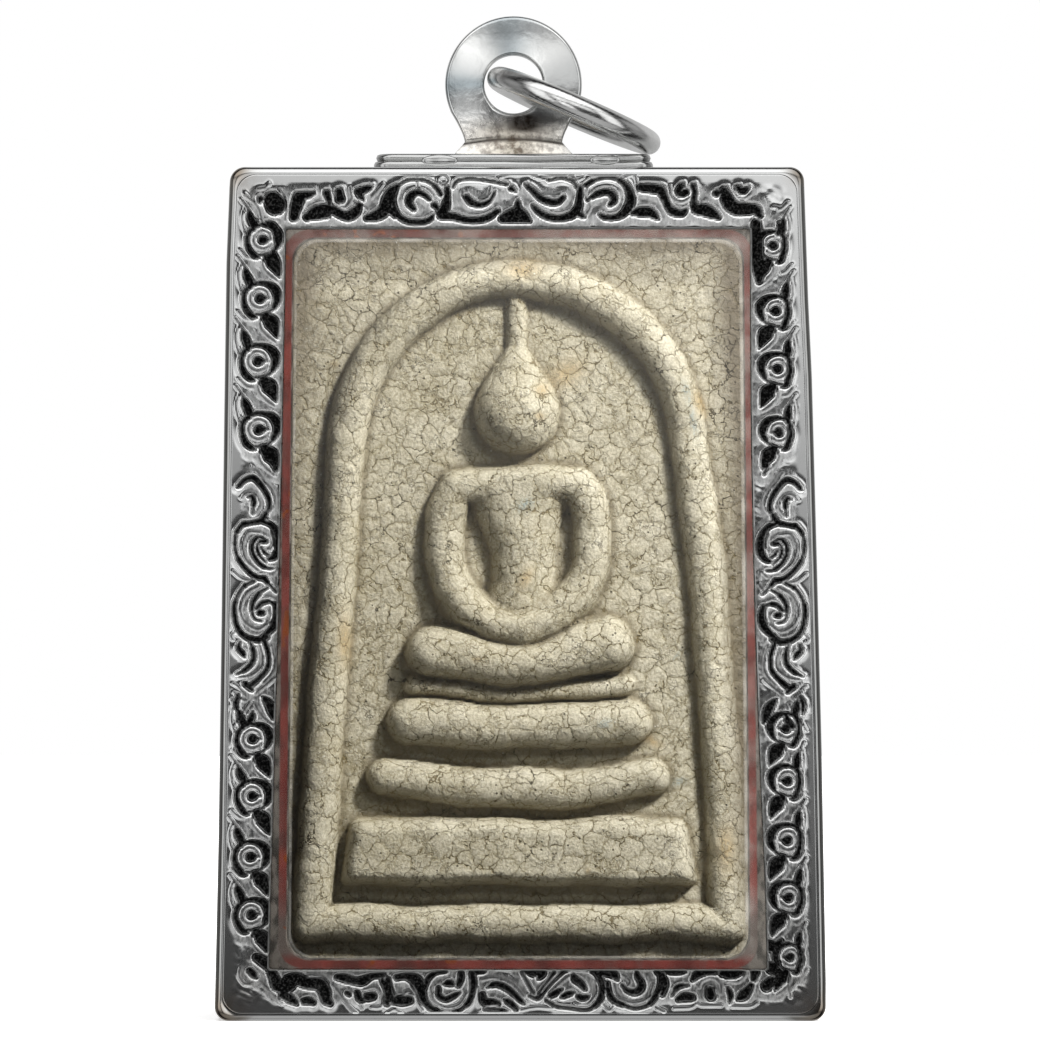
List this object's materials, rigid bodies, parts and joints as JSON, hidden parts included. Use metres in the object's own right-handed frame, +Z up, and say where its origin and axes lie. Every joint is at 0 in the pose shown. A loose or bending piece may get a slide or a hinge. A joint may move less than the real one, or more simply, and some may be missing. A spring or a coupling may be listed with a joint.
{
  "type": "framed clay amulet pendant",
  "caption": "Upright pendant: a chased steel case with a welded hanger and swinging jump ring holds a moulded clay plaque between clear windows.",
  "frame": {"origin": "bottom centre of the case, where it stands", "axes": "+Z up along the case's height, +X to the right seen from the front, the chased front faces -Y"},
  "size_m": [0.032, 0.01, 0.0532],
  "materials": {
    "polished_steel": "polished stainless steel, chased and darkened in the ornament's ground",
    "clear_acrylic": "clear gloss acrylic with bevelled, rounded edges",
    "red_seal": "satin red sealing ring",
    "clay": "dry moulded clay with a fine net of cracks",
    "ring_steel": "polished steel wire"
  },
  "bodies": {
    "case": {"steel_case": "polished_steel", "front_window": "clear_acrylic", "red_seal": "red_seal", "back_window": "clear_acrylic", "clay_amulet": "clay"},
    "ring": {"jump_ring": "ring_steel"}
  },
  "joints": [
    {"name": "ring_swing", "type": "hinge", "parent": "case", "child": "ring", "pos_m": [-0.00103, 0, 0.04992], "axis": [0, -1, 0], "range_deg": [0, 225]}
  ]
}
